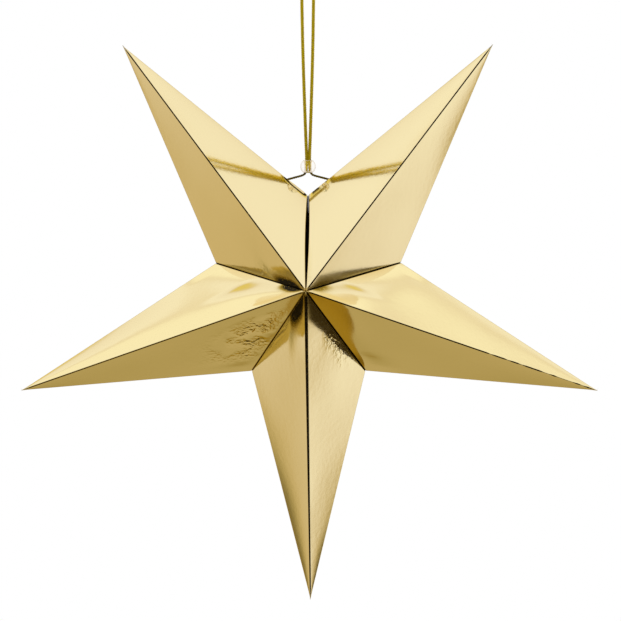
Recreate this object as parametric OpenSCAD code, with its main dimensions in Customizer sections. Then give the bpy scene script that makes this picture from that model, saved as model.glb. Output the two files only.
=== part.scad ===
// Folded paper star: five hollow points of foil card, glued side by side along their valleys.
// The valley at the top is an open seam. A cord through a hole on each side of it is drawn
// together by a bead, and its loop hangs the star.
// Millimetres. +Z is up, the front faces -Y, +X is to the right seen from the front, and the
// origin is the inside of the loop's top, where a hook bears.

/* [Star] */
// Distance from the star's centre to each tip
tip_r = 237; // [150:1:370]
// Distance from the star's centre to each notch between two points
notch_r = 75; // [50:1:100]
// Distance from the middle plane to the front apex, and to the back one
half_depth = 80; // [50:1:120]
// Distance of the star's centre below the top of the hanging loop
hang_height = 240; // [200:1:400]

/* [Card] */
// Thickness of the foil card
card_t = 0.35; // [0.2:0.05:0.8]
// Width of the glue flaps that are folded in along the valleys
flap_w = 10; // [6:1:16]
// Length of valley left without a flap at its apex and at its notch
flap_end = 5; // [3:1:10]
// Thickness of the glue film between two flaps
glue_t = 0.1; // [0.05:0.05:0.3]

/* [Seam] */
// Angle by which the unglued seam at the top stands open
seam_open = 1.25; // [0.5:0.25:4]
// Diameter of the two cord holes
hole_d = 3.2; // [2.4:0.1:5]
// Distance of each cord hole from its notch, along the outline fold
hole_from_notch = 19; // [12:1:30]

/* [Cord and bead] */
// Diameter of the slack cord above the bead
cord_d = 2; // [1:0.1:2.1]
// Diameter of the stretched cord below the bead
cord_tight_d = 1.3; // [0.8:0.1:2]
// Diameter of the knot that holds each end of the cord behind its hole
knot_d = 4; // [3.4:0.1:4.2]
// Diameter of the clear bead
bead_d = 12; // [8:0.5:16]
// Diameter of the bore that takes both strands of the cord
bead_bore_d = 4.8; // [4.4:0.1:6]
// Diameter of the bore's flared mouths
bead_mouth_d = 7.2; // [6:0.1:7.8]
// Depth of each flare
bead_flare = 1.5; // [0.5:0.1:2.5]
// Distance of the bead's centre below the top of the hanging loop
bead_drop = 143; // [138:1:160]

/* [Hidden] */
$fn = 64;
foil_gold = [0.86, 0.70, 0.36];
cord_gold = [0.62, 0.50, 0.18];
bead_clear = [0.95, 0.95, 0.93, 0.35];

point_count = 5;
// Each point fills this angle to either side of its ridge
half_angle = (360 - seam_open) / point_count / 2;
// Number of the points on either side of the open seam, counted clockwise from it
first_point = 0;
last_point = point_count - 1;

// Corners of one point in its own frame: +X runs from the star's centre to the tip, and Z across
notch_x = notch_r * cos(half_angle);
notch_z = notch_r * sin(half_angle);
front_apex = [0, -half_depth, 0];
back_apex = [0, half_depth, 0];
tip = [tip_r, 0, 0];
notch = [notch_x, 0, notch_z];
// Normal of the panel between the front ridge and the notch, and its share along +X
panel_normal = cross(notch - front_apex, tip - front_apex);
panel_lean = abs(panel_normal[0]) / norm(panel_normal);
// A panel keeps its thickness when the hollow is the same pyramid, slid this far to the centre
hollow_slide = card_t / panel_lean;
// The hollow runs on past the star's axis by this much
hollow_past = 20;

// Length of a valley from its apex to its notch, and its direction in the valley's plane
valley_len = norm([notch_r, half_depth]);
valley_dir = [notch_r, half_depth] / valley_len;
valley_in = [-half_depth, notch_r] / valley_len;

// Each flap starts inside its panel, at this share of the card's thickness
flap_root = 0.2;

// Length and slope of the outline fold between a notch and the tip
fold_run = tip - notch;
fold_slope = atan2(fold_run[2], fold_run[0]);
hole_centre = notch + fold_run / norm(fold_run) * hole_from_notch;
hole_reach = 3;

// Height of the bore's mouths above and below the bead's centre
mouth_height = sqrt(bead_d * bead_d - bead_mouth_d * bead_mouth_d) / 2;

// Route of the cord's left half, from its knot through the hole and the bead to the loop's top.
// The right half is its mirror image.
cord_left = [
    [-19.4, 0, -153.9], [-17.0, 0, -153.3], [-15.0, 0, -152.7], [-12.0, 0, -151.9],
    [-9.0, 0, -151.1], [-6.0, 0, -150.3], [-4.2, 0, -149.7], [-3.0, 0, -149.0],
    [-2.1, 0, -147.9], [-1.5, 0, -146.5], [-1.2, 0, -144.8], [-1.1, 0, -142.0],
    [-1.1, 0, -137.5], [-1.2, 0, -133.0], [-1.7, 0, -120.0], [-2.3, 0, -103.0],
    [-2.9, 0, -85.0], [-3.5, 0, -65.0], [-4.0, 0, -45.0], [-4.3, 0, -28.0],
    [-4.5, 0, -14.0], [-4.5, 0, -3.5], [-4.2, 0, -1.8], [-3.2, 0, -0.3],
    [-1.7, 0, 0.7]
];
cord_top = [0, 0, 1.0];
cord_route = concat(cord_left, [cord_top], mirrored(cord_left));
cord_sides = 8;

function mirrored(points) =
    [for (i = [len(points) - 1 : -1 : 0]) [-points[i][0], points[i][1], points[i][2]]];

// Radius of the cord at a height: stretched below the bead, slack above it
function cord_radius(z) =
    let (
        low = -bead_drop - bead_d / 2,
        share = min(1, max(0, (z - low) / bead_d))
    )
    (cord_tight_d + (cord_d - cord_tight_d) * share) / 2;

// One ring of the cord, square to its run, which stays in the plane of X and Z
function cord_ring(i) =
    let (
        before = cord_route[max(0, i - 1)],
        after = cord_route[min(len(cord_route) - 1, i + 1)],
        run = (after - before) / norm(after - before),
        across = cross([0, 1, 0], run),
        radius = cord_radius(cord_route[i][2])
    )
    [for (k = [0 : cord_sides - 1])
        let (turn = 360 * k / cord_sides)
        cord_route[i] + radius * (cos(turn) * across + sin(turn) * [0, 1, 0])];

// Four-sided pyramid whose faces are a point's panels, from the tip back to the plane X = base_x
module panel_pyramid(base_x) {
    run = tip_r - base_x;
    y = half_depth * run / tip_r;
    z = notch_z * run / (tip_r - notch_x);
    polyhedron(
        points = [tip, [base_x, -y, 0], [base_x, 0, z], [base_x, y, 0], [base_x, 0, -z]],
        faces = [[0, 1, 2], [0, 2, 3], [0, 3, 4], [0, 4, 1], [4, 3, 2, 1]]
    );
}

// Solid share of the star that one point fills, out to the planes of its two valleys
module sector() {
    polyhedron(
        points = [tip, front_apex, notch, back_apex, [notch_x, 0, -notch_z]],
        faces = [[0, 1, 2], [0, 2, 3], [0, 3, 4], [0, 4, 1], [3, 2, 1], [4, 3, 1]]
    );
}

// Glue flap along the front half of the valley on the point's +Z side, half a glue film inside its plane
module glue_flap() {
    root = valley_in * card_t * flap_root;
    apex_end = [0, -half_depth] + valley_dir * flap_end + root;
    notch_end = [notch_r, 0] - valley_dir * flap_end + root;
    taper = valley_dir * flap_w;
    inward = valley_in * flap_w;
    rotate([0, -half_angle, 0])
        translate([0, 0, -card_t - glue_t / 2])
            linear_extrude(card_t)
                polygon([apex_end, notch_end, notch_end - taper + inward, apex_end + taper + inward]);
}

// Cord hole through the outline fold on the point's +Z side
module cord_hole() {
    translate(hole_centre)
        rotate([0, -fold_slope, 0])
            cylinder(d = hole_d, h = 2 * hole_reach, center = true);
}

// One folded point in its own frame; seam_side is 1 or -1 for a cord hole on the +Z or -Z side, 0 for none
module folded_point(seam_side) {
    difference() {
        union() {
            difference() {
                sector();
                translate([-hollow_slide, 0, 0]) panel_pyramid(-hollow_past);
            }
            for (side = [0, 1], face = [0, 1])
                mirror([0, 0, side]) mirror([0, face, 0]) glue_flap();
        }
        if (seam_side > 0) cord_hole();
        if (seam_side < 0) mirror([0, 0, 1]) cord_hole();
    }
}

// A point in its place, counted clockwise from the open seam at the top
module star_point(i) {
    heading = 90 - seam_open / 2 - half_angle * (2 * i + 1);
    seam_side = i == first_point ? 1 : i == last_point ? -1 : 0;
    color(foil_gold)
        translate([0, 0, -hang_height])
            rotate([0, -heading, 0])
                folded_point(seam_side);
}

module hanging_cord() {
    rings = [for (i = [0 : len(cord_route) - 1]) cord_ring(i)];
    last = len(rings) - 1;
    sides = cord_sides;
    walls = [for (i = [0 : last - 1], k = [0 : sides - 1])
        let (next = (k + 1) % sides)
        [i * sides + k, (i + 1) * sides + k, (i + 1) * sides + next, i * sides + next]];
    start_cap = [for (k = [0 : sides - 1]) k];
    end_cap = [for (k = [sides - 1 : -1 : 0]) last * sides + k];
    color(cord_gold) {
        polyhedron(
            points = [for (ring = rings) each ring],
            faces = concat(walls, [start_cap], [end_cap])
        );
        for (end = [cord_route[0], cord_route[last]])
            translate(end) sphere(d = knot_d);
    }
}

module cord_bead() {
    color(bead_clear)
        translate([0, 0, -bead_drop])
            difference() {
                sphere(d = bead_d);
                cylinder(d = bead_bore_d, h = 2 * bead_d, center = true);
                for (end = [0, 1])
                    mirror([0, 0, end])
                        translate([0, 0, mouth_height]) {
                            cylinder(d = bead_mouth_d, h = bead_d);
                            translate([0, 0, -bead_flare])
                                cylinder(d1 = bead_bore_d, d2 = bead_mouth_d, h = bead_flare);
                        }
            }
}

star_point(0);  // point_upper_right
star_point(1);  // point_right
star_point(2);  // point_bottom
star_point(3);  // point_left
star_point(4);  // point_upper_left
hanging_cord();
cord_bead();
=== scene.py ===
import math
from collections import namedtuple

import bmesh
import bpy
from bpy.props import FloatProperty, FloatVectorProperty, IntProperty, PointerProperty
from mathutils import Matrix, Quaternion, Vector, noise


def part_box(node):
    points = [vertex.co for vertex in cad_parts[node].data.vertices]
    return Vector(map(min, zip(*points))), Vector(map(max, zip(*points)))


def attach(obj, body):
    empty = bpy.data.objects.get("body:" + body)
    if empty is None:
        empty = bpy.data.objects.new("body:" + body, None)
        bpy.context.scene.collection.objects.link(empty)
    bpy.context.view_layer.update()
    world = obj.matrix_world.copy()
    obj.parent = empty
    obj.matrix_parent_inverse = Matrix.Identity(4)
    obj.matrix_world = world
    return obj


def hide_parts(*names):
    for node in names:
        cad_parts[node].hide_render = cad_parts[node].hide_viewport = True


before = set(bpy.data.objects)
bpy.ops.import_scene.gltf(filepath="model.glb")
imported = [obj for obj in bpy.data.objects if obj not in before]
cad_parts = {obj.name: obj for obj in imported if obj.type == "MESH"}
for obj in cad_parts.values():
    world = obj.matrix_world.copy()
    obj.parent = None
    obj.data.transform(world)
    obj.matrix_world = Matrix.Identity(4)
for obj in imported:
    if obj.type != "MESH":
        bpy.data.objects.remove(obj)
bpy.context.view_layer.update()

bl_info = {
    "name": "Folded paper star",
    "version": (1, 0, 0),
    "blender": (4, 5, 0),
    "location": "View3D > Sidebar > Paper star",
    "description": "Dresses a hollow star of gold foil card, its hanging cord and its bead",
    "category": "Object",
}

MM = 0.001
POINT_NODES = ("point_upper_right", "point_right", "point_bottom", "point_left", "point_upper_left")
POINT_COUNT = len(POINT_NODES)

# The star's own sizes, read from the frame: the bottom point hangs straight down from the centre,
# and the open seam turns the upper right one away from its place in an even star
BOTTOM_LOW, BOTTOM_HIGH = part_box("point_bottom")
CENTRE = Vector((0, 0, BOTTOM_HIGH.z))
TIP_RADIUS = BOTTOM_HIGH.z - BOTTOM_LOW.z
HALF_DEPTH = BOTTOM_HIGH.y
FIRST_HEADING = math.acos(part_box("point_upper_right")[1].x / TIP_RADIUS)
SEAM_OPEN = (math.pi / 2 - math.pi / POINT_COUNT - FIRST_HEADING) / (0.5 - 0.5 / POINT_COUNT)
HALF_ANGLE = (math.tau - SEAM_OPEN) / POINT_COUNT / 2
NOTCH_RADIUS = BOTTOM_HIGH.x / math.sin(HALF_ANGLE)
BEAD_LOW, BEAD_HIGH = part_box("cord_bead")
BEAD_CENTRE = (BEAD_LOW + BEAD_HIGH) / 2
BEAD_RADIUS = (BEAD_HIGH.x - BEAD_LOW.x) / 2

# Route of the cord's left half as x and z in millimetres, from its knot through the hole and the
# bead to the loop's top, whose height comes last; the right half is its mirror image
CORD_LEFT_MM = (
    (-19.4, -153.9), (-17.0, -153.3), (-15.0, -152.7), (-12.0, -151.9), (-9.0, -151.1),
    (-6.0, -150.3), (-4.2, -149.7), (-3.0, -149.0), (-2.1, -147.9), (-1.5, -146.5),
    (-1.2, -144.8), (-1.1, -142.0), (-1.1, -137.5), (-1.2, -133.0), (-1.7, -120.0),
    (-2.3, -103.0), (-2.9, -85.0), (-3.5, -65.0), (-4.0, -45.0), (-4.3, -28.0),
    (-4.5, -14.0), (-4.5, -3.5), (-4.2, -1.8), (-3.2, -0.3), (-1.7, 0.7),
)
CORD_TOP_MM = 1.0

# The hand-glued star is a little uneven: each tip's own offset to the right and up in millimetres,
# and the share of its ridges' height that is lost near it
TIPS = {
    "point_upper_right": (1.9, 0.3, 0.02),
    "point_right": (-2.5, -2.2, 0.03),
    "point_bottom": (1.0, -0.2, 0.045),
    "point_left": (2.5, -1.2, 0.03),
    "point_upper_left": (-2.5, 0.9, 0.0),
}

# How each front panel has warped: its dish and the lip beside its outline, in millimetres, and spots
# beside its glued valley. A spot covers a stretch of valley between two shares of the way from the
# apex to the notch, and reaches some millimetres from it. Its amount is a sink's depth in millimetres
# for sinks, and a strength for crinkles and for dark reflections painted on the foil.
Spot = namedtuple("Spot", "amount start stop reach")
PanelWarp = namedtuple("PanelWarp", "dish lip sinks crinkles crushed", defaults=(0.0, (), (), ()))
PANEL_WARP = {
    ("point_upper_right", 1): PanelWarp(0.4, 0.22),
    ("point_upper_right", -1): PanelWarp(0.2, 0.05, crushed=[Spot(0.5, 0.05, 0.2, 6)]),
    ("point_right", 1): PanelWarp(
        0.2, 0.2, sinks=[Spot(0.8, 0.0, 0.25, 10), Spot(-0.35, 0.45, 1.0, 10)],
        crushed=[Spot(0.6, 0.05, 0.12, 5)]),
    ("point_right", -1): PanelWarp(
        0.3, 0.0, sinks=[Spot(0.2, 0.1, 0.6, 10), Spot(-0.3, 0.85, 1.0, 10)]),
    ("point_bottom", 1): PanelWarp(0.2, 0.05, crinkles=[Spot(0.15, 0.3, 0.7, 7)]),
    ("point_bottom", -1): PanelWarp(
        0.45, 0.1, sinks=[Spot(0.25, 0.0, 0.2, 10)], crushed=[Spot(2.0, 0.05, 0.18, 8)]),
    ("point_left", 1): PanelWarp(
        0.2, 0.0, sinks=[Spot(0.45, 0.3, 0.8, 12)], crinkles=[Spot(0.7, 0.25, 0.75, 16)]),
    ("point_left", -1): PanelWarp(
        1.8, 0.1, sinks=[Spot(1.0, 0.1, 0.4, 14), Spot(-0.35, 0.5, 1.0, 10)],
        crushed=[Spot(1.8, 0.05, 0.13, 4)]),
    ("point_upper_left", 1): PanelWarp(
        0.35, 0.0, sinks=[Spot(0.2, 0.0, 0.25, 6)], crinkles=[Spot(0.1, 0.1, 0.5, 5)],
        crushed=[Spot(1.6, 0.05, 0.22, 5)]),
    ("point_upper_left", -1): PanelWarp(0.2, 0.15),
}
BACK_WARP = PanelWarp(0.5)
# Height and width, in millimetres, of the strip that the cord curls between its hole and the notch
CORNER_CURL_MM = {"point_upper_right": (0.4, 6.5), "point_upper_left": (0.8, 3.0)}
# Sides of points whose valley fold gets less wear and painted shade
PALE_VALLEYS = {("point_left", 1), ("point_bottom", -1), ("point_upper_left", -1)}

# Second tones of the finishes, which their patterns bring in
FOIL_MOTTLE = (0.93, 0.80, 0.40, 1.0)
CARD_FIBRE = (0.62, 0.57, 0.48, 1.0)
# Yarn tone between the painted glints
YARN_SHADE = (0.70, 0.52, 0.010, 1.0)
# Painted shade of the stretched cord below the bead
YARN_STRETCHED = (0.14, 0.10, 0.006, 1.0)
BEAD_MARKS = (0.97, 0.93, 0.86, 1.0)


def length_prop(description, default):
    return FloatProperty(description=description, default=default, unit="LENGTH")


def share_prop(description, default):
    return FloatProperty(description=description, default=default, subtype="FACTOR")


def colour_prop(description, default):
    return FloatVectorProperty(description=description, default=default, subtype="COLOR")


class StarSizes(bpy.types.PropertyGroup):
    """Sizes of the folded card."""

    card_thickness: length_prop("Thickness of the foil card", 0.35 * MM)
    ridge_fold: length_prop("Length of panel taken up by half of a ridge fold's rounding", 1.2 * MM)
    outline_fold: length_prop("Length of panel taken up by half of an outline fold's rounding", 0.9 * MM)
    valley_fold: length_prop("Length of panel taken up by the fold of a glue flap", 0.8 * MM)
    flap_width: length_prop("Width of the glue flaps inside the valleys", 10 * MM)
    flap_end: length_prop("Length of valley left bare at each end of a flap", 5 * MM)
    seam_lift: length_prop(
        "Distance by which the cord draws the two top notch corners forward", 4.5 * MM)
    card_wave: length_prop("Height of the slow waves in the card", 0.05 * MM)
    seam_bow: length_prop("Distance by which each free edge of the open seam bows away", 0.6 * MM)
    seam_pinch: length_prop("Distance by which the cord draws each notch corner to the seam", 0.5 * MM)


class CordSizes(bpy.types.PropertyGroup):
    """Sizes of the hanging cord and its bead."""

    diameter: length_prop("Diameter of the slack cord above the bead", 2 * MM)
    tight_share: share_prop("Diameter of the stretched cord below the bead, as a share", 0.65)
    twist_swell: share_prop("Widest part of the twisted cord, over its mean diameter", 1.38)
    strands: IntProperty(description="Number of strands that are twisted together", default=3)
    pitch: length_prop("Length of one full twist", 5 * MM)
    hole_diameter: length_prop("Diameter of the cord holes in the two upper points", 3.2 * MM)
    hole_from_notch: length_prop("Distance of each cord hole from the notch, along the fold", 19 * MM)
    bore_diameter: length_prop("Diameter of the bead's bore", 4.8 * MM)
    mouth_diameter: length_prop("Diameter of the flared mouths of the bead's bore", 7.2 * MM)
    flare_depth: length_prop("Depth of each flared mouth", 1.5 * MM)


class StarColours(bpy.types.PropertyGroup):
    """Colours of the finishes."""

    foil: colour_prop("Colour of the gold foil", (0.95, 0.81, 0.42))
    # The next two colours are worn foil with painted shade along the folds, and painted dark reflections
    # near the apexes
    foil_crushed: colour_prop("Colour of the foil beside worn folds", (0.46, 0.31, 0.03))
    foil_worn: colour_prop("Colour of the foil along the folds", (0.020, 0.013, 0.003))
    card: colour_prop("Colour of the card's uncoated side", (0.78, 0.74, 0.66))
    cord: colour_prop("Colour of the metallic cord", (0.95, 0.74, 0.02))
    bead: colour_prop("Tint of the clear bead", (0.99, 0.98, 0.96))


def operator_pair(operation):
    """One of Python's operators on node values, and its reflected form."""
    return (lambda self, other: self.math(operation, self, other),
            lambda self, other: self.math(operation, other, self))


class Socket:
    """A node's value that Python's operators work on, each adding one Math node."""

    def __init__(self, tree, output):
        self.tree = tree
        self.output = output

    def math(self, operation, *terms):
        return Nodes(self.tree).node("ShaderNodeMath", {"operation": operation}, dict(enumerate(terms)))

    __add__, __radd__ = operator_pair("ADD")
    __sub__, __rsub__ = operator_pair("SUBTRACT")
    __mul__, __rmul__ = operator_pair("MULTIPLY")
    __truediv__, __rtruediv__ = operator_pair("DIVIDE")

    def at_least(self, other):
        return self.math("MAXIMUM", self, other)

    def smooth(self, low, high):
        """Rises smoothly from 0 to 1 as the value goes from low to high."""
        return Nodes(self.tree).node(
            "ShaderNodeMapRange", {"interpolation_type": "SMOOTHSTEP"},
            {"Value": self, "From Min": low, "From Max": high})


class Nodes:
    """Adds nodes to one node tree."""

    def __init__(self, tree):
        self.tree = tree

    def node(self, kind, settings=None, inputs=None, output=0):
        """A new node, with its settings made first, as the socket of one of its outputs."""
        made = self.tree.nodes.new(kind)
        for name, value in (settings or {}).items():
            if name == "stops":
                ramp = made.color_ramp.elements
                while len(ramp) < len(value):
                    ramp.new(1.0)
                for stop, (place, colour) in zip(ramp, value):
                    stop.position = place
                    stop.color = colour
            else:
                setattr(made, name, value)
        self.feed(made, inputs or {})
        return Socket(self.tree, made.outputs[output])

    def feed(self, made, inputs):
        """Sets or links a node's sockets."""
        for name, value in inputs.items():
            socket = made.inputs[name]
            if isinstance(value, Socket):
                self.tree.links.new(value.output, socket)
            else:
                socket.default_value = value

    def found(self, kind):
        """The tree's own node of one type."""
        return next(n for n in self.tree.nodes if n.type == kind)

    def ray(self, kind):
        """1 for rays of one kind, such as Is Camera Ray, and 0 for all others."""
        return self.node("ShaderNodeLightPath", output=kind)

    def place(self):
        return self.node("ShaderNodeTexCoord", output="Object")

    def axes(self, vector):
        """The x, y and z of a vector."""
        split = self.node("ShaderNodeSeparateXYZ", None, {0: vector}).output.node
        return [Socket(self.tree, output) for output in split.outputs]

    def scaled(self, vector, factor):
        return self.node("ShaderNodeVectorMath", {"operation": "SCALE"}, {0: vector, "Scale": factor})

    def grain(self, place, scale, detail=2.0):
        """Noise with about that many cells to the metre."""
        return self.node("ShaderNodeTexNoise", None, {"Vector": place, "Scale": scale, "Detail": detail})

    def bump(self, height, strength, distance, **under):
        """A bumped normal, on top of another where one is given as Normal."""
        return self.node(
            "ShaderNodeBump", None,
            {"Strength": strength, "Distance": distance, "Height": height, **under})

    def mix_colour(self, share, first, second, blend="MIX"):
        """A colour from first, where share is 0, to second, where it is 1."""
        return self.node(
            "ShaderNodeMix", {"data_type": "RGBA", "blend_type": blend},
            {0: share, 6: first, 7: second}, 2)


def rgba(colour):
    return (*colour, 1.0)


def shaded_material(name):
    """A new material with a Principled surface: the material, its nodes and the surface node."""
    material = bpy.data.materials.new(name)
    material.use_nodes = True
    sh = Nodes(material.node_tree)
    return material, sh, sh.found("BSDF_PRINCIPLED")


def gold_foil_material(colours):
    """Mirror foil on card: fine mottling, a little orange peel, crinkles, and wear with painted shade along
    the folds and painted dark reflections near the apexes.
    """
    material, sh, surface = shaded_material("gold_foil")
    place = sh.place()
    fold, crinkle = (
        sh.node("ShaderNodeAttribute", {"attribute_name": name}, output=2) for name in ("fold", "crinkle"))
    mottle = sh.grain(place, 34.0, 3.0)
    speck = sh.grain(place, 900.0)
    peel = sh.grain(place, 260.0)
    pebble = sh.grain(place, 380.0, 1.0)
    patch = sh.grain(place, 70.0, 1.0)
    # Wear with painted shade along the folds and painted dark reflections near the apexes, broken up by
    # specks
    wear = fold * speck.smooth(0.15, 0.45)
    tone = sh.mix_colour(mottle * 0.06, rgba(colours.foil), FOIL_MOTTLE)
    tone = sh.mix_colour(wear.smooth(0.0, 0.45), tone, rgba(colours.foil_crushed))
    tone = sh.mix_colour(wear.smooth(0.25, 0.9), tone, rgba(colours.foil_worn))
    peeled = sh.bump(peel, 0.05, 0.2 * MM)
    crinkled = sh.bump(pebble * crinkle * patch.smooth(0.32, 0.62), 1.0, 0.8 * MM, Normal=peeled)
    sh.feed(surface, {
        "Base Color": tone, "Metallic": 1.0, "Roughness": 0.045 + mottle * 0.045 + wear * 0.3,
        "Normal": crinkled})
    return material


def card_back_material(colours):
    """The card's uncoated inside, with faint fibres."""
    material, sh, surface = shaded_material("card_back")
    fibre = sh.grain(sh.place(), 700.0, 6.0)
    tone = sh.mix_colour(fibre.smooth(0.4, 0.7) * 0.25, rgba(colours.card), CARD_FIBRE)
    sh.feed(surface, {"Base Color": tone, "Roughness": 0.85, "Normal": sh.bump(fibre, 0.2, 0.1 * MM)})
    return material


def cord_material(colours):
    """Metallic yarn: fine filaments in random tones with painted glints, and painted shade on the stretched
    cord below the bead.
    """
    material, sh, surface = shaded_material("gold_cord")
    place = sh.place()
    yarn = sh.grain(place, 1500.0, 3.0)
    # Random yarn tone, whose brightest spots are painted glints and a little less rough
    glint = yarn.smooth(0.42, 0.66)
    tone = sh.mix_colour(glint, YARN_SHADE, rgba(colours.cord))
    # Painted shade on the stretched cord below the bead
    stretched = sh.axes(place)[2].smooth(BEAD_CENTRE.z, BEAD_LOW.z)
    tone = sh.mix_colour(stretched * 0.9, tone, YARN_STRETCHED)
    sh.feed(surface, {
        "Base Color": tone, "Roughness": 0.48 - glint * 0.14, "Specular IOR Level": 0.1,
        "Normal": sh.bump(yarn, 0.6, 0.1 * MM)})
    return material


def bead_material(colours):
    """Clear moulded plastic with faint handling marks."""
    material, sh, surface = shaded_material("clear_bead")
    marks = sh.grain(sh.place(), 420.0, 4.0)
    tone = sh.mix_colour(marks * 0.2, rgba(colours.bead), BEAD_MARKS)
    sh.feed(surface, {
        "Base Color": tone, "Roughness": 0.03 + marks.smooth(0.55, 0.75) * 0.12,
        "Transmission Weight": 1.0, "IOR": 1.4})
    return material


def new_piece(name, mesh, *materials):
    piece = bpy.data.objects.new(name, mesh)
    bpy.context.scene.collection.objects.link(piece)
    for material in materials:
        mesh.materials.append(material)
    return piece


def finished_mesh(name, shape, smooth=True):
    """The mesh of a shape that is done, which is freed."""
    for face in shape.faces:
        face.smooth = smooth
    mesh = bpy.data.meshes.new(name)
    shape.to_mesh(mesh)
    shape.free()
    return mesh


def evaluated_mesh(piece):
    """The mesh that a piece's modifiers make."""
    return bpy.data.meshes.new_from_object(piece.evaluated_get(bpy.context.evaluated_depsgraph_get()))


def close_rings(shape, rings):
    """Joins rings of points, the last one to the first, with faces that point outwards."""
    for a, b in zip(rings, rings[1:] + rings[:1]):
        for k in range(len(a)):
            after = (k + 1) % len(a)
            shape.faces.new((a[k], a[after], b[after], b[k]))
    bmesh.ops.recalc_face_normals(shape, faces=shape.faces[:])


def smooth_line(points, steps):
    """Points along a Catmull-Rom curve through the given points, with that many steps between two."""
    line = []
    for i in range(len(points) - 1):
        before = points[max(0, i - 1)]
        start, end = points[i], points[i + 1]
        after = points[min(len(points) - 1, i + 2)]
        for k in range(steps):
            t = k / steps
            line.append(0.5 * (
                2 * start + (end - before) * t
                + (2 * before - 5 * start + 4 * end - after) * t * t
                + (3 * start - before - 3 * end + after) * t ** 3))
    line.append(points[-1])
    return line


def rounded(start, corner, end, t):
    """A point of the curve that rounds a corner off, from start at 0 to end at 1."""
    return start * (1 - t) ** 2 + corner * (2 * t * (1 - t)) + end * t ** 2


def cord_route():
    """The cord's whole route as points in metres, from the left knot over the loop to the right knot."""
    left = [Vector((x, 0, z)) * MM for x, z in CORD_LEFT_MM]
    right = [Vector((-p.x, p.y, p.z)) for p in reversed(left)]
    return left + [Vector((0, 0, CORD_TOP_MM)) * MM] + right


def heading_of(index):
    """Heading of a point, counted clockwise from the open seam, from +X towards +Z."""
    return math.pi / 2 - SEAM_OPEN / 2 - HALF_ANGLE * (2 * index + 1)


def into_star(index):
    """A function that carries a point's own frame to its place in the star."""
    turn = heading_of(index)
    cos, sin = math.cos(turn), math.sin(turn)
    return lambda p: CENTRE + Vector((p.x * cos - p.z * sin, p.y, p.x * sin + p.z * cos))


# A place on a ring round a point: on a ridge, an outline or a panel, with the number of its corner or
# panel, the share of the way round or across it, the share of the way out from the ridge to the
# outline, its side, which is 1 for +Z, -1 for -Z and 0 on a ridge, and whether it is at the front
Place = namedtuple("Place", "kind k share out side front")


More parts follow.
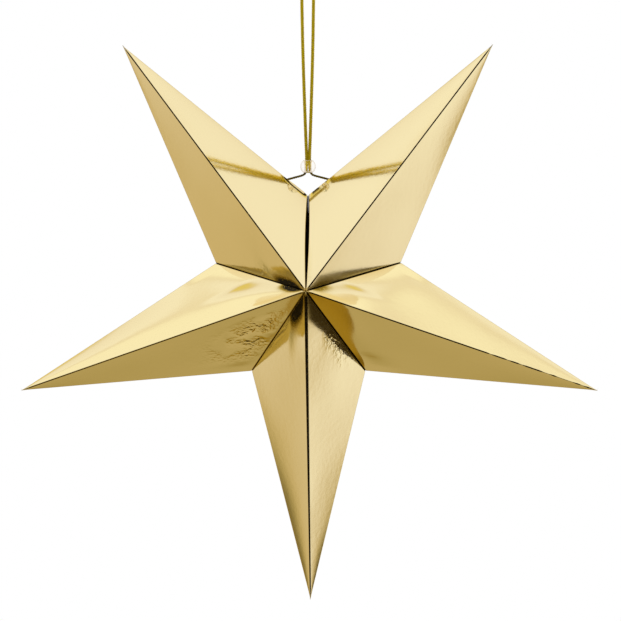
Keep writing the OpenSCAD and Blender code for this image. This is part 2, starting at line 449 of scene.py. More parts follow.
class FoldedPoint:
    """One folded point in its own frame: +X from the star's centre to the tip, -Y to the front.

    Its corners are the front apex, the notch at +Z, the back apex and the notch at -Z. Panel k lies
    between corner k and the next one.
    """

    FRONT_PANELS = (0, 3)
    # Steps round a ridge or outline fold, across a panel, from the tip to the valleys, round the fold
    # of a glue flap, and across the flap
    RIDGE_ARC, ACROSS, ALONG, FLAP_ARC, FLAP_ROWS = 4, 40, 90, 5, 4
    # Share of the way to the valleys at the first row, and how the rows crowd there
    FIRST_ROW, ROW_CROWDING = 0.004, 1.6
    # Most of a panel's width that one fold takes up, and the least flap as a multiple of its fold
    FOLD_MOST, FLAP_LEAST = 0.3, 1.3
    # Share of the right point's ridge, from its tip, that has sharper places, the scale and start of
    # their pattern, and the share of the fold that is left there
    RIDGE_BREAKS, BREAK_SCALE, BREAK_START, BREAK_FOLD = 0.4, 70, 3.1, 0.3
    # Distance from the valleys over which a dish sets in
    DISH_SETS_IN = 60 * MM
    # Slow waves to the metre, the shift of their pattern between panels, and how fast they set in
    WAVE_SCALE, WAVE_SHIFT, WAVE_SETS_IN = 26, 7.3, 3
    # Brings the crest of a lip's curve to 1
    LIP_CREST = 9.5
    # How far a spot fades past its stretch of valley, and how fast near the valley's ends
    SPOT_FADE, SPOT_ENDS = 0.12, 12
    # Where the curl of a seam corner is full and ends, from the notch, and the length of its fading
    CURL_FULL, CURL_END, CURL_FADE = 4 * MM, 26 * MM, 12 * MM
    # Reach of the seam's bow from the valley, and half of what is left open at the back
    SEAM_REACH, SEAM_BACK = 30 * MM, 0.1 * MM
    # Wear of the foil with painted shade along its folds, from 0 to 1
    WEAR_VALLEY, WEAR_PALE_VALLEY, WEAR_OUTLINE = 0.9, 0.2, 0.3
    WEAR_RIDGE, WEAR_LEFT_RIDGE, WEAR_CREASE = 1.0, 0.65, 0.4
    # Width of the painted shadow beside the bottom ridge, and the length and half width of the crease
    # that bounds the curl of the upper right point, along which wear and painted shade darken the foil
    RIDGE_WEAR, CREASE_LENGTH, CREASE_HALF = 2.2 * MM, 18 * MM, 1.3 * MM
    # Distance from an apex over which the wear and painted shade set in
    APEX_BARE = 5 * MM
    # Most thickness of card near the tip, as a share of the distance from it
    TIP_CARD = 0.16

    def __init__(self, sizes, index):
        self.sizes = sizes
        self.node = POINT_NODES[index]
        self.seam_side = 1 if index == 0 else -1 if index == POINT_COUNT - 1 else 0
        turn = heading_of(index)
        right, up, self.tip_flat = TIPS[self.node]
        right, up = right * MM, up * MM
        self.tip = Vector((
            TIP_RADIUS + right * math.cos(turn) + up * math.sin(turn), 0,
            up * math.cos(turn) - right * math.sin(turn)))
        notch_x, notch_z = NOTCH_RADIUS * math.cos(HALF_ANGLE), NOTCH_RADIUS * math.sin(HALF_ANGLE)
        self.front = Vector((0, -HALF_DEPTH, 0))
        self.back = Vector((0, HALF_DEPTH, 0))
        self.corners = (
            self.front, Vector((notch_x, 0, notch_z)), self.back, Vector((notch_x, 0, -notch_z)))
        seam_corner = self.corners[1 if self.seam_side > 0 else 3]
        self.notch = seam_corner.copy()
        if self.seam_side:
            seam_corner.y = -sizes.seam_lift
        self.valley_lengths = [(self.corners[(k + 1) % 4] - self.corners[k]).length for k in range(4)]
        along = (self.corners[1] - self.front).normalized()
        reach = self.tip - self.front
        self.panel_height = (reach - along * reach.dot(along)).length
        self.normals = []
        for k in range(4):
            a, b = self.corners[k], self.corners[(k + 1) % 4]
            normal = (b - a).cross(self.tip - a).normalized()
            if normal.dot(a + b) < 0:
                normal = -normal
            self.normals.append(normal)

    def fold_length(self, corner, u):
        """Length of panel that a fold takes up; the right point's ridge is sharper in places by its tip."""
        if corner % 2:
            return self.sizes.outline_fold
        if self.node == "point_right" and u < self.RIDGE_BREAKS:
            if noise.noise(Vector((u * self.BREAK_SCALE, self.BREAK_START, 0))) > 0:
                return self.BREAK_FOLD * self.sizes.ridge_fold
        return self.sizes.ridge_fold

    def samples(self):
        """The places round a ring, closer together beside the folds."""
        places = []
        for k in range(4):
            side, front = 1 if k < 2 else -1, k in self.FRONT_PANELS
            kind, out, fold_side = ("outline", 1.0, side) if k % 2 else ("ridge", 0.0, 0)
            for j in range(self.RIDGE_ARC + 1):
                places.append(Place(kind, k, j / self.RIDGE_ARC, out, fold_side, front))
            for j in range(1, self.ACROSS + 1):
                share = (1 - math.cos(math.pi * j / (self.ACROSS + 1))) / 2
                places.append(Place("panel", k, share, 1 - share if k % 2 else share, side, front))
        return places

    def ring_corner(self, k, u):
        """Corner of the ring at u: on a ridge, which flattens near the tip, or on an outline."""
        corner = self.tip + (self.corners[k] - self.tip) * u
        if k % 2 == 0:
            corner.y *= 1 - self.tip_flat * (1 - u) ** 2
        return corner

    def on_ring(self, u, place):
        """A point of the flat-panelled form with rounded folds; u is 0 at the tip and 1 at the valleys."""
        k = place.k
        here = self.ring_corner(k, u)
        following = self.ring_corner((k + 1) % 4, u)
        span = (following - here).length
        ahead = (following - here).normalized()
        fold = min(self.fold_length(k, u), self.FOLD_MOST * span)
        if place.kind != "panel":
            behind = (self.ring_corner((k - 1) % 4, u) - here).normalized()
            return rounded(here + behind * fold, here, here + ahead * fold, place.share)
        next_fold = min(self.fold_length((k + 1) % 4, u), self.FOLD_MOST * span)
        return here + ahead * (fold + (span - fold - next_fold) * place.share)

    def stretch(self, out, start, stop):
        """1 in the middle of a stretch of valley between two shares, falling to 0 a little past its ends."""
        middle, reach = (start + stop) / 2, (stop - start) / 2 + self.SPOT_FADE
        ends = min(1, self.SPOT_ENDS * out, self.SPOT_ENDS * (1 - out))
        return max(0.0, 1 - ((out - middle) / reach) ** 2) * ends

    def beside_valley(self, u, out, start, stop, reach_mm):
        """Rises from 0 on a stretch of valley to 1 at its reach, and falls again."""
        run = (1 - u) * self.panel_height / (reach_mm * MM)
        return self.stretch(out, start, stop) * run * math.exp((1 - run * run) / 2)

    def along_valley(self, u, out, start, stop, reach_mm):
        """1 on a stretch of valley, falling away from it over its reach."""
        run = (1 - u) * self.panel_height / (reach_mm * MM)
        return self.stretch(out, start, stop) * math.exp(-run * run)

    def warp_depth(self, u, place, point):
        """How far a panel has sunk in at a point: its dish, lip, slow waves and sinks."""
        out = place.out
        warp = PANEL_WARP[self.node, place.side] if place.front else BACK_WARP
        from_valley = (1 - u) * self.panel_height
        bulge = 4 * out * (1 - out)
        held = u * (1 - math.exp(-(from_valley / self.DISH_SETS_IN) ** 2))
        ripple = noise.noise(point * self.WAVE_SCALE + Vector((place.k * self.WAVE_SHIFT, 0, 0)))
        lip = self.LIP_CREST * out ** 3 * (1 - out)
        depth = (warp.dish * held * bulge + warp.lip * u * lip) * MM
        depth += self.sizes.card_wave * ripple * min(1, self.WAVE_SETS_IN * u) * bulge
        for sink, *where in warp.sinks:
            depth += sink * MM * self.beside_valley(u, out, *where)
        return depth

    def corner_curl(self, u, place):
        """How far the strip between the cord's hole and the notch curls out."""
        along = (1 - u) * (self.tip - self.notch).length
        inside = (1 - place.out) * self.valley_lengths[place.k] * u
        curl, width = (v * MM for v in CORNER_CURL_MM[self.node])
        strip = max(0.0, 1 - inside / width) ** 1.5
        window = min(1.0, along / self.CURL_FULL) * min(
            1.0, max(0.0, (self.CURL_END - along) / self.CURL_FADE))
        return curl * strip * window

    def seam_move(self, u, place):
        """The move of an edge of the open seam towards the other one, or away from it."""
        towards = Vector((-math.sin(HALF_ANGLE), 0, place.side * math.cos(HALF_ANGLE)))
        near = math.exp(-(1 - u) * self.panel_height / self.SEAM_REACH)
        if place.kind == "outline":
            move = self.sizes.seam_pinch
        elif place.front:
            bow = -self.sizes.seam_bow * math.sin(math.pi * place.out)
            move = bow + self.sizes.seam_pinch * place.out ** 4
        else:
            move = NOTCH_RADIUS * place.out * math.sin(SEAM_OPEN / 2) - self.SEAM_BACK
        return towards * near * move

    def shaped(self, u, place):
        """A point of the real form: warped panels, curled corners, and bowed edges at the open seam."""
        point = self.on_ring(u, place)
        at_seam = self.seam_side and place.side == self.seam_side
        if place.kind == "panel":
            point -= self.normals[place.k] * self.warp_depth(u, place, point)
            if at_seam and place.front:
                point += self.normals[place.k] * self.corner_curl(u, place)
        if at_seam:
            point += self.seam_move(u, place)
        return point

    def flap_run(self, place):
        """Direction of the glue flap at a place on the ring, and its width there."""
        angle = math.pi / 2 * (1 + place.out)
        ray = Vector((math.cos(HALF_ANGLE), 0, place.side * math.sin(HALF_ANGLE)))
        if place.kind == "ridge":
            ray = Vector((1, 0, 0))
        run = ray * math.cos(angle) + Vector((0, 1 if place.front else -1, 0)) * math.sin(angle)
        ends = min(place.out, 1 - place.out) * self.valley_lengths[place.k] - self.sizes.flap_end
        least = self.sizes.valley_fold * self.FLAP_LEAST
        return run, max(least, min(self.sizes.flap_width, ends))

    def row_share(self, row):
        """Share of the way from the tip to the valleys at a row."""
        last = 1 - self.sizes.valley_fold / self.panel_height
        return self.FIRST_ROW + (last - self.FIRST_ROW) * (1 - (1 - row / self.ALONG) ** self.ROW_CROWDING)

    def rows(self, places):
        """Rows of points from the tip to the flaps' free edges, each going round the point."""
        fold = self.sizes.valley_fold
        table = [[self.shaped(self.row_share(i), place) for place in places] for i in range(self.ALONG + 1)]
        edge = [self.shaped(1.0, place) for place in places]
        runs = [self.flap_run(place) for place in places]
        for j in range(1, self.FLAP_ARC + 1):
            table.append([
                rounded(start, corner, corner + run * fold, j / self.FLAP_ARC)
                for start, corner, (run, _) in zip(table[self.ALONG], edge, runs)])
        for j in range(1, self.FLAP_ROWS + 1):
            table.append([
                corner + run * (fold + (width - fold) * (j / self.FLAP_ROWS))
                for corner, (run, width) in zip(edge, runs)])
        return table

    def spotted(self, spots, form, row, out):
        """Strength of spots of one form beside the valley, 0 to 1."""
        u = self.row_share(row)
        return min(1.0, sum(strength * form(u, out, *where) for strength, *where in spots))

    def fold_mask(self, row, place):
        """Wear of the foil with painted shade: most on a ridge or valley fold, less on an outline, 0 on a
        sound panel; also painted shadow by the bottom ridge and painted dark reflections near the apexes.
        """
        if row > self.ALONG:
            return self.WEAR_PALE_VALLEY if (self.node, place.side) in PALE_VALLEYS else self.WEAR_VALLEY
        if place.kind == "outline":
            return self.WEAR_OUTLINE
        if place.kind == "ridge":
            return self.WEAR_LEFT_RIDGE if self.node == "point_left" else self.WEAR_RIDGE
        if not place.front:
            return 0.0
        valley = self.valley_lengths[place.k]
        # A strip of painted shadow beside the bottom point's ridge
        if self.node == "point_bottom" and place.out * valley < self.RIDGE_WEAR:
            return self.WEAR_RIDGE
        # Painted shade along the crease that bounds the curl of the corner
        if self.node == "point_upper_right" and place.side == self.seam_side:
            along = (1 - self.row_share(row)) * (self.tip - self.notch).length
            inside = (1 - place.out) * valley
            width = CORNER_CURL_MM[self.node][1] * MM
            if along < self.CREASE_LENGTH and abs(inside - width) < self.CREASE_HALF:
                return self.WEAR_CREASE
        # Painted dark reflections in spots beside the valley near the apex
        return self.spotted(PANEL_WARP[self.node, place.side].crushed, self.along_valley, row, place.out)

    def crinkle_mask(self, row, place):
        """Strength of the fine crinkles in the card, 0 to 1."""
        if place.kind != "panel" or row > self.ALONG or not place.front:
            return 0.0
        return self.spotted(PANEL_WARP[self.node, place.side].crinkles, self.beside_valley, row, place.out)

    def mesh(self, name, place_in_star):
        """The closed sheet of card, foil outside and bare card inside, as a mesh in its place."""
        places = self.samples()
        shape = bmesh.new()
        # Wear with painted shade along the folds, and painted dark reflections near the apexes, that darken
        # the foil's colour
        fold = shape.verts.layers.float.new("fold")
        crinkle = shape.verts.layers.float.new("crinkle")
        outer = [[shape.verts.new(p) for p in row] for row in self.rows(places)]
        for i, row in enumerate(outer):
            for vert, place in zip(row, places):
                off_apex = min((vert.co - self.front).length, (vert.co - self.back).length)
                vert[fold] = self.fold_mask(i, place) * min(1.0, (off_apex / self.APEX_BARE) ** 2)
                vert[crinkle] = self.crinkle_mask(i, place)
        crown = shape.verts.new(self.tip)
        # The tip is painted fully dark
        crown[fold] = 1.0
        around = [(j, (j + 1) % len(places)) for j in range(len(places))]
        faces = [shape.faces.new((upper[j], lower[j], lower[k], upper[k]))
                 for upper, lower in zip(outer, outer[1:]) for j, k in around]
        faces += [shape.faces.new((crown, outer[0][j], outer[0][k])) for j, k in around]
        shape.normal_update()
        if outer[self.ALONG // 2][0].normal.y > 0:
            bmesh.ops.reverse_faces(shape, faces=faces)
            shape.normal_update()
        inner = []
        for row in outer:
            copies = []
            for vert in row:
                depth = min(self.sizes.card_thickness, self.TIP_CARD * (self.tip.x - vert.co.x))
                copies.append(shape.verts.new(vert.co - vert.normal * depth))
            inner.append(copies)
        hollow = shape.verts.new(self.tip + (inner[0][0].co - self.tip) / 2)
        hollow.co.y = hollow.co.z = 0
        faces = [shape.faces.new((upper[j], upper[k], lower[k], lower[j]))
                 for upper, lower in zip(inner, inner[1:]) for j, k in around]
        for j, k in around:
            faces.append(shape.faces.new((hollow, inner[0][k], inner[0][j])))
            faces.append(shape.faces.new((outer[-1][j], inner[-1][j], inner[-1][k], outer[-1][k])))
        for face in faces:
            face.material_index = 1
        bmesh.ops.recalc_face_normals(shape, faces=shape.faces[:])
        for vert in shape.verts:
            vert.co = place_in_star(vert.co)
        return finished_mesh(name, shape)


class PAPERSTAR_OT_camera(bpy.types.Operator):
    """Places the camera in front of the star, a little below and to the right of its axis"""

    bl_idname = "paper_star.place_camera"
    bl_label = "Place camera"

    DISTANCE = 2.0
    FROM_RIGHT = math.radians(1.41)
    FROM_BELOW = math.radians(0.64)
    ROLL = math.radians(-0.14)
    SENSOR_WIDTH = 36.0
    VIEW_WIDTH = 0.4789
    AIM = Vector((1.6 * MM, 0, -14.1 * MM))

    def execute(self, context):
        data = bpy.data.cameras.new("camera")
        data.sensor_width = self.SENSOR_WIDTH
        data.lens = self.SENSOR_WIDTH * self.DISTANCE / self.VIEW_WIDTH
        camera = bpy.data.objects.new("camera", data)
        context.scene.collection.objects.link(camera)
        away = Vector((math.tan(self.FROM_RIGHT), -1, -math.tan(self.FROM_BELOW))) * self.DISTANCE
        camera.location = CENTRE + away
        aim = CENTRE + self.AIM - camera.location
        look = aim.to_track_quat("-Z", "Y") @ Quaternion((0, 0, 1), self.ROLL)
        camera.rotation_euler = look.to_euler()
        context.scene.camera = camera
        return {"FINISHED"}


class PAPERSTAR_OT_bead(bpy.types.Operator):
    """Turns the clear bead with a flared, softly rounded bore"""

    bl_idname = "paper_star.turn_bead"
    bl_label = "Turn bead"

    AROUND = 64
    OUTSIDE = 40
    FLARE = 6

    def profile(self, sizes):
        """Closed outline of the bead's section as (radius, height) pairs."""
        mouth = sizes.mouth_diameter / 2
        bore = sizes.bore_diameter / 2
        mouth_height = math.sqrt(BEAD_RADIUS ** 2 - mouth ** 2)
        lip = math.asin(mouth_height / BEAD_RADIUS)
        turns = [lip - 2 * lip * i / self.OUTSIDE for i in range(self.OUTSIDE + 1)]
        outline = [(BEAD_RADIUS * math.cos(a), BEAD_RADIUS * math.sin(a)) for a in turns]
        throat = mouth_height - sizes.flare_depth
        flare = []
        for i in range(1, self.FLARE + 1):
            t = i / self.FLARE
            height = rounded(mouth_height, throat, throat - sizes.flare_depth, t)
            flare.append((rounded(mouth, bore, bore, t), height))
        return outline + [(r, -h) for r, h in flare] + [(r, h) for r, h in reversed(flare)]

    def execute(self, context):
        outline = self.profile(context.scene.star_cord)
        shape = bmesh.new()
        rings = []
        for i in range(self.AROUND):
            a = math.tau * i / self.AROUND
            rings.append([shape.verts.new(BEAD_CENTRE + Vector((r * math.cos(a), r * math.sin(a), h)))
                          for r, h in outline])
        close_rings(shape, rings)
        mesh = finished_mesh("clear_bead", shape)
        bead = new_piece("clear_bead", mesh, bead_material(context.scene.star_colours))
        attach(bead, "root")
        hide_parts("cord_bead")
        return {"FINISHED"}


class PAPERSTAR_OT_cord(bpy.types.Operator):
    """Twists the hanging cord along its route and ties its two end knots"""

    bl_idname = "paper_star.twist_cord"
    bl_label = "Twist cord"

    # Steps of the route between two of its points, and length of a step along a strand
    ROUTE_STEPS = 8
    STRAND_STEP = 0.45 * MM
    STRAND_SIDES = 8
    # Radius of each of three strands that touch, over the radius of their cord
    STRAND_SHARE = 0.464
    # Steps and sides of a knot's yarn, the scale and depth of the knot's line, and how far ahead
    # along it its direction is taken
    KNOT_STEPS = 72
    KNOT_SIDES = 10
    KNOT_SCALE = 0.36 * MM
    KNOT_DEPTH = 1.3
    KNOT_AHEAD = 0.01

    def twist_tree(self):
        """Geometry nodes that turn a line into twisted strands."""
        tree = bpy.data.node_groups.new("twisted_cord", "GeometryNodeTree")
        for name, way, kind in (
                ("Geometry", "INPUT", "Geometry"), ("Strands", "INPUT", "Int"), ("Pitch", "INPUT", "Float"),
                ("Cord radius", "INPUT", "Float"), ("Tight share", "INPUT", "Float"),
                ("Tight height", "INPUT", "Float"), ("Slack height", "INPUT", "Float"),
                ("Material", "INPUT", "Material"), ("Geometry", "OUTPUT", "Geometry")):
            tree.interface.new_socket(name, in_out=way, socket_type="NodeSocket" + kind)
        geo = Nodes(tree)
        given = {out.name: Socket(tree, out) for out in tree.nodes.new("NodeGroupInput").outputs}
        depth_axis = (0.0, 1.0, 0.0)
        line = geo.node(
            "GeometryNodeResampleCurve", {"mode": "LENGTH"},
            {"Curve": given["Geometry"], "Length": self.STRAND_STEP})
        copies = geo.node(
            "GeometryNodeDuplicateElements", {"domain": "SPLINE"},
            {"Geometry": line, "Amount": given["Strands"]})
        number = Socket(tree, copies.output.node.outputs["Duplicate Index"])
        height = geo.axes(geo.node("GeometryNodeInputPosition"))[2]
        slack = geo.node("ShaderNodeMapRange", {"clamp": True}, {
            "Value": height, "From Min": given["Tight height"], "From Max": given["Slack height"],
            "To Min": given["Tight share"], "To Max": 1.0})
        run = geo.node("GeometryNodeSplineParameter", output="Length")
        angle = (run / given["Pitch"] + number / given["Strands"]) * math.tau
        side = geo.node(
            "ShaderNodeVectorMath", {"operation": "CROSS_PRODUCT"},
            {0: geo.node("GeometryNodeInputTangent"), 1: depth_axis})
        around = geo.node("ShaderNodeVectorMath", {"operation": "ADD"}, {
            0: geo.scaled(side, angle.math("COSINE", angle)),
            1: geo.scaled(depth_axis, angle.math("SINE", angle))})
        reach = given["Cord radius"] * (1 - self.STRAND_SHARE) * slack
        moved = geo.node(
            "GeometryNodeSetPosition", None, {"Geometry": copies, "Offset": geo.scaled(around, reach)})
        ring = geo.node("GeometryNodeCurvePrimitiveCircle", None, {
            "Resolution": self.STRAND_SIDES, "Radius": given["Cord radius"] * self.STRAND_SHARE})
        swept = geo.node("GeometryNodeCurveToMesh", None, {
            "Curve": moved, "Profile Curve": ring, "Scale": slack, "Fill Caps": True})
        whole = geo.node("GeometryNodeRealizeInstances", None, {"Geometry": swept})
        dressed = geo.node(
            "GeometryNodeSetMaterial", None, {"Geometry": whole, "Material": given["Material"]})
        geo.feed(tree.nodes.new("NodeGroupOutput"), {0: dressed})
        return tree

    def execute(self, context):
        sizes = context.scene.star_cord
        route = smooth_line(cord_route(), self.ROUTE_STEPS)
        line = bpy.data.curves.new("cord_line", "CURVE")
        line.dimensions = "3D"
        spline = line.splines.new("POLY")
        spline.points.add(len(route) - 1)
        for point, place in zip(spline.points, route):
            point.co = (*place, 1.0)
        drawn = new_piece("cord_line", line)
        tree = self.twist_tree()
        twist = drawn.modifiers.new("twist", "NODES")
        twist.node_group = tree
        material = cord_material(context.scene.star_colours)
        values = {
            "Strands": sizes.strands, "Pitch": sizes.pitch, "Tight share": sizes.tight_share,
            "Cord radius": sizes.diameter / 2 * sizes.twist_swell,
            "Tight height": BEAD_LOW.z, "Slack height": BEAD_HIGH.z, "Material": material,
        }
        for item in tree.interface.items_tree:
            if item.in_out == "INPUT" and item.name in values:
                twist[item.identifier] = values[item.name]
        mesh = evaluated_mesh(drawn)
        bpy.data.objects.remove(drawn)
        if not mesh.polygons:
            raise RuntimeError("the cord has no faces")
        mesh.name = "hanging_cord"
        for face in mesh.polygons:
            face.use_smooth = True
        cord = new_piece("twisted_cord", mesh)
        knots = self.knots(sizes, material, route)
        for piece in (cord, knots):
            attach(piece, "root")
        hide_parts("hanging_cord")
        return {"FINISHED"}

    def knot_line(self, a):
        """A point of an overhand knot's closed line, at an angle along it."""
        return self.KNOT_SCALE * Vector((
            math.sin(a) + 2 * math.sin(2 * a), math.cos(a) - 2 * math.cos(2 * a),
            -self.KNOT_DEPTH * math.sin(3 * a)))

    def knots(self, sizes, material, route):
        """An overhand knot at each end of the cord, inside the two upper points."""
        shape = bmesh.new()
        yarn = sizes.diameter / 2 * sizes.tight_share
        turns = [math.tau * k / self.KNOT_SIDES for k in range(self.KNOT_SIDES)]
        for end in (route[0], route[-1]):
            rings = []
            for i in range(self.KNOT_STEPS):
                t = math.tau * i / self.KNOT_STEPS
                here = self.knot_line(t)
                run = (self.knot_line(t + self.KNOT_AHEAD) - here).normalized()
                side = run.cross(Vector((0, 0, 1))).normalized()
                up = side.cross(run)
                rings.append([
                    shape.verts.new(end + here + (side * math.cos(a) + up * math.sin(a)) * yarn)
                    for a in turns])
            close_rings(shape, rings)
        return new_piece("cord_knots", finished_mesh("cord_knots", shape), material)


class PAPERSTAR_OT_points(bpy.types.Operator):
    """Folds the five hollow points and punches the two cord holes"""

    bl_idname = "paper_star.fold_points"
    bl_label = "Fold points"

    # Share of the seam's lift that is left at the holes
    HOLE_LIFT = 0.4
    HOLE_SIDES = 32
    PUNCH_LENGTH = 9 * MM
    # Edges that turn by more than this are shaded as sharp
    SHARP_FROM = math.radians(50)

    def punch(self, piece, form, index, sizes):
        """Cuts the cord's hole through the outline fold on the seam side."""
        in_star = into_star(index)
        run = (form.tip - form.notch).normalized()
        lift = Vector((0, self.HOLE_LIFT * form.sizes.seam_lift, 0))
        hole = form.notch - lift + run * sizes.hole_from_notch
        centre = in_star(hole)
        across = in_star(hole + Vector((run.z, 0, -run.x))) - centre
        shape = bmesh.new()
        radius = sizes.hole_diameter / 2
        bmesh.ops.create_cone(shape, cap_ends=True, segments=self.HOLE_SIDES, radius1=radius,
                              radius2=radius, depth=self.PUNCH_LENGTH)
        turn = across.to_track_quat("Z", "Y").to_matrix().to_4x4()
        turn.translation = centre
        shape.transform(turn)
        tool = new_piece("punch", finished_mesh("punch", shape, smooth=False))
        cut = piece.modifiers.new("hole", "BOOLEAN")
        cut.operation = "DIFFERENCE"
        cut.solver = "MANIFOLD"
        cut.object = tool
        whole = piece.data
        punched = evaluated_mesh(piece)
        piece.modifiers.clear()
        piece.data = punched
        punched.name = whole.name
        bpy.data.objects.remove(tool)
        if len(punched.polygons) == len(whole.polygons):
            raise RuntimeError("the cord hole was not cut")

    def execute(self, context):
        foil = gold_foil_material(context.scene.star_colours)
        inside = card_back_material(context.scene.star_colours)
        for index, node in enumerate(POINT_NODES):
            form = FoldedPoint(context.scene.star_card, index)
            mesh = form.mesh("folded_" + node, into_star(index))
            piece = new_piece("folded_" + node, mesh, foil, inside)
            if form.seam_side:
                self.punch(piece, form, index, context.scene.star_cord)
            piece.data.set_sharp_from_angle(angle=self.SHARP_FROM)
            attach(piece, "root")
            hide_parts(node)
        return {"FINISHED"}


class PAPERSTAR_OT_studio(bpy.types.Operator):
    """Sets the white studio: a pale floor far below and a soft surround that the foil mirrors"""

    bl_idname = "paper_star.set_studio"
    bl_label = "Set studio"

    FLOOR_DROP = 0.45
    FLOOR_RADIUS = 2.0
    FLOOR_SIDES = 96
    # Shares of the floor's radius between which its rim turns clear
    FLOOR_RIM = (0.4, 0.95)
    FLOOR_TONES = ((0.96, 0.96, 0.955, 1), (0.94, 0.94, 0.93, 1))

    WHITE = (1, 1, 1, 1)
    # Light on matt surfaces, from the front and from behind, and the room that the clear bead shows
    SOFT_FRONT = (0.15, 0.15, 0.15, 1)
    SOFT_BACK = (1.15, 1.15, 1.15, 1)
    ROOM = (0.72, 0.62, 0.50, 1)
    # What the foil mirrors, from dark to bright, and its tints
    TONES = (
        (0.00, (0.030, 0.020, 0.006, 1)),
        (0.40, (0.420, 0.345, 0.170, 1)),
        (0.60, (0.620, 0.510, 0.330, 1)),
        (0.85, (0.880, 0.850, 0.930, 1)),
        (1.00, (1.020, 1.040, 1.160, 1)),
    )
    TOP_TINT = (1.0, 0.985, 0.89, 1)
    GLOW_LEFT = (0.48, 0.36, 0.10, 1)
    GLOW_BELOW = (0.35, 0.225, 0.025, 1)
    GLOW_ABOVE = (0.80, 0.68, 0.26, 1)
    # Brightness of the two sides from straight below, 0, to straight above, 1
    RIGHT_SIDE = ((0.0, 0.45), (0.315, 0.88), (0.345, 0.97), (0.9, 1.00))
    LEFT_SIDE = ((0.0, 0.45), (0.30, 0.56), (0.345, 0.605), (0.385, 0.71), (0.9, 1.00))
    # Each pair of numbers from here on is where something starts and where it is full, along x to the
    # right, y to the back or z up. First come the parts of the surround, and where each brightens.
    SIDES_X = (-0.6, 0.6)
    ABOVE_Z = (0.0, 0.5)
    BELOW_Z = (-0.45, -0.75)
    RIGHT_X = (-0.2, 0.2)
    BRIGHT_Y = {
        "above": (0.02, 0.25), "right": (0.255, 0.317), "left": (0.265, 0.358), "below": (0.20, 0.31)}
    # The right side is full sooner low down, by this much
    SOONER, SOONER_Z = 0.013, (-0.322, -0.345)
    # The bright back fades a little towards the sides, and less above
    FADE, FADE_ABOVE, FADE_Y = 0.24, 0.08, (0.37, 0.24)
    # The top, along a line that slants, and the shade beside it
    SLANT, TOP_Y = 0.023, (0.30, 0.325)
    SHADE, SHADE_Y = 0.17, (0.344, 0.317)
    # The front, half as bright straight ahead, and the flanks
    FRONT, FRONT_Y, AHEAD_Y = 0.8, (-0.22, -0.34), (-0.62, -0.5)
    FLANK, FLANK_LOW_Z, FLANK_HIGH_Z = 0.5, (0.02, 0.15), (0.60, 0.50)
    # The two edges of the glow to the left and below, and of the glow above
    LOW_GLOW_Y = (0.31, 0.25), (0.19, 0.23)
    HIGH_GLOW_Y = (0.22, 0.16), (0.05, 0.12)
    # The light on matt surfaces, and the room behind the bead, along y squared
    SOFT_Y = (-0.8, 0.0)
    ROOM_YY = (0.15, 0.75)

    def surround(self, world):
        """What the foil mirrors: bright behind and above, warmer to the left and below, dim in front."""
        sh = Nodes(world.node_tree)
        x, y, z = sh.axes(sh.node("ShaderNodeTexCoord", output="Generated"))
        lift = z * 0.5 + 0.5

        def side(stops):
            return sh.node("ShaderNodeValToRGB", {"stops": [(p, (v, v, v, 1)) for p, v in stops]}, {0: lift})

        level = sh.mix_colour(x.smooth(*self.SIDES_X), side(self.LEFT_SIDE), side(self.RIGHT_SIDE))
        level = sh.node("ShaderNodeSeparateColor", None, {0: level})
        above = z.smooth(*self.ABOVE_Z)
        below = (1 - above) * z.smooth(*self.BELOW_Z)
        beside = 1 - above - below
        right = beside * x.smooth(*self.RIGHT_X)
        left = beside - right
        parts = {"above": above, "right": right, "left": left, "below": below}
        start, full = (sum(parts[name] * ends[i] for name, ends in self.BRIGHT_Y.items()) for i in (0, 1))
        full = full - right * (self.SOONER * z.smooth(*self.SOONER_Z))
        fade = (self.FADE - above * (self.FADE - self.FADE_ABOVE)) * y.smooth(*self.FADE_Y)
        slant = y + x * self.SLANT
        top = above * slant.smooth(*self.TOP_Y)
        shade = self.SHADE * top * slant.smooth(*self.SHADE_Y)
        back = y.smooth(start, full) * (1 - fade) * (1 - shade)
        front = y.smooth(*self.FRONT_Y) * (0.5 + 0.5 * y.smooth(*self.AHEAD_Y))
        flank = self.FLANK * z.smooth(*self.FLANK_LOW_Z) * z.smooth(*self.FLANK_HIGH_Z)
        lit = (level * (back + front * self.FRONT)).at_least(flank)
        tone = sh.node("ShaderNodeValToRGB", {"stops": self.TONES}, {0: lit})
        tone = sh.mix_colour(top, tone, self.TOP_TINT, "MULTIPLY")
        low, high = (y.smooth(*a) * y.smooth(*b) for a, b in (self.LOW_GLOW_Y, self.HIGH_GLOW_Y))
        tone = sh.mix_colour(left * low, tone, self.GLOW_LEFT)
        tone = sh.mix_colour(below * low, tone, self.GLOW_BELOW)
        tone = sh.mix_colour(above * high, tone, self.GLOW_ABOVE)
        soft = sh.mix_colour(y.smooth(*self.SOFT_Y), self.SOFT_FRONT, self.SOFT_BACK)
        seen = sh.mix_colour(sh.ray("Is Camera Ray"), soft, self.WHITE)
        seen = sh.mix_colour(sh.ray("Is Glossy Ray"), seen, tone)
        beyond = sh.mix_colour((y * y).smooth(*self.ROOM_YY), self.ROOM, self.WHITE)
        seen = sh.mix_colour(sh.ray("Is Transmission Ray"), seen, beyond)
        sh.feed(sh.found("BACKGROUND"), {"Color": seen, "Strength": 1.0})

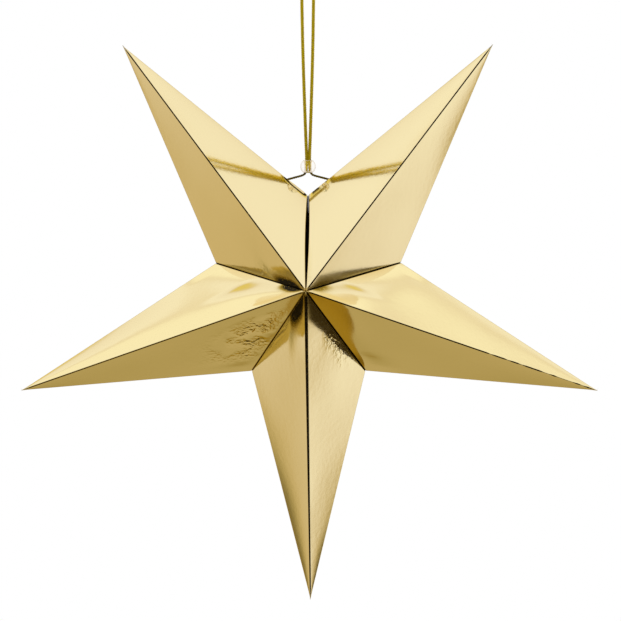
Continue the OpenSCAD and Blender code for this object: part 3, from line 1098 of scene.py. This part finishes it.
    def floor_material(self):
        """Pale matt floor, clear at its rim and from below, that the foil does not mirror."""
        material, sh, surface = shaded_material("studio_floor")
        place = sh.place()
        tone = sh.mix_colour(sh.grain(place, 3.0) * 0.3, *self.FLOOR_TONES)
        sh.feed(surface, {"Base Color": tone, "Roughness": 1.0, "Specular IOR Level": 0.0})
        x, y, _ = sh.axes(place)
        reach = sh.node("ShaderNodeMath", {"operation": "SQRT"}, {0: x * x + y * y})
        rim = reach.smooth(*(share * self.FLOOR_RADIUS for share in self.FLOOR_RIM))
        below = sh.node("ShaderNodeNewGeometry", output="Backfacing")
        hidden = 1 - (1 - rim) * (1 - below) * (1 - sh.ray("Is Glossy Ray"))
        matt = Socket(sh.tree, surface.outputs[0])
        clear = sh.node("ShaderNodeBsdfTransparent")
        shown = sh.node("ShaderNodeMixShader", None, {0: hidden, 1: matt, 2: clear})
        sh.feed(sh.found("OUTPUT_MATERIAL"), {"Surface": shown})
        return material

    def execute(self, context):
        scene = context.scene
        scene.view_settings.view_transform = "Standard"
        world = bpy.data.worlds.new("studio")
        world.use_nodes = True
        scene.world = world
        self.surround(world)
        shape = bmesh.new()
        bmesh.ops.create_circle(shape, cap_ends=True, segments=self.FLOOR_SIDES, radius=self.FLOOR_RADIUS)
        height = CENTRE.z - TIP_RADIUS - self.FLOOR_DROP
        bmesh.ops.translate(shape, verts=shape.verts[:], vec=(0, 0, height))
        mesh = finished_mesh("studio_floor", shape, smooth=False)
        floor = new_piece("studio_floor", mesh, self.floor_material())
        return {"FINISHED"}


class PAPERSTAR_PT_panel(bpy.types.Panel):
    """Lists the star's steps, sizes and colours in the sidebar"""

    bl_label = "Paper star"
    bl_idname = "PAPERSTAR_PT_panel"
    bl_space_type = "VIEW_3D"
    bl_region_type = "UI"
    bl_category = "Paper star"

    def draw(self, context):
        for operator in OPERATORS:
            self.layout.operator(operator.bl_idname)
        for name, kind in GROUPS.items():
            box = self.layout.box()
            for value in kind.__annotations__:
                box.prop(getattr(context.scene, name), value, text=value.replace("_", " ").capitalize())


GROUPS = {"star_card": StarSizes, "star_cord": CordSizes, "star_colours": StarColours}
OPERATORS = (
    PAPERSTAR_OT_camera, PAPERSTAR_OT_bead, PAPERSTAR_OT_cord, PAPERSTAR_OT_points, PAPERSTAR_OT_studio)


def register():
    for item in (*GROUPS.values(), *OPERATORS, PAPERSTAR_PT_panel):
        bpy.utils.register_class(item)
    for name, kind in GROUPS.items():
        setattr(bpy.types.Scene, name, PointerProperty(type=kind))


def unregister():
    for name in GROUPS:
        delattr(bpy.types.Scene, name)
    for item in reversed((*GROUPS.values(), *OPERATORS, PAPERSTAR_PT_panel)):
        bpy.utils.unregister_class(item)


def main():
    register()
    bpy.ops.paper_star.place_camera()
    bpy.ops.paper_star.turn_bead()
    bpy.ops.paper_star.twist_cord()
    bpy.ops.paper_star.fold_points()
    bpy.ops.paper_star.set_studio()


if __name__ == "__main__":
    main()
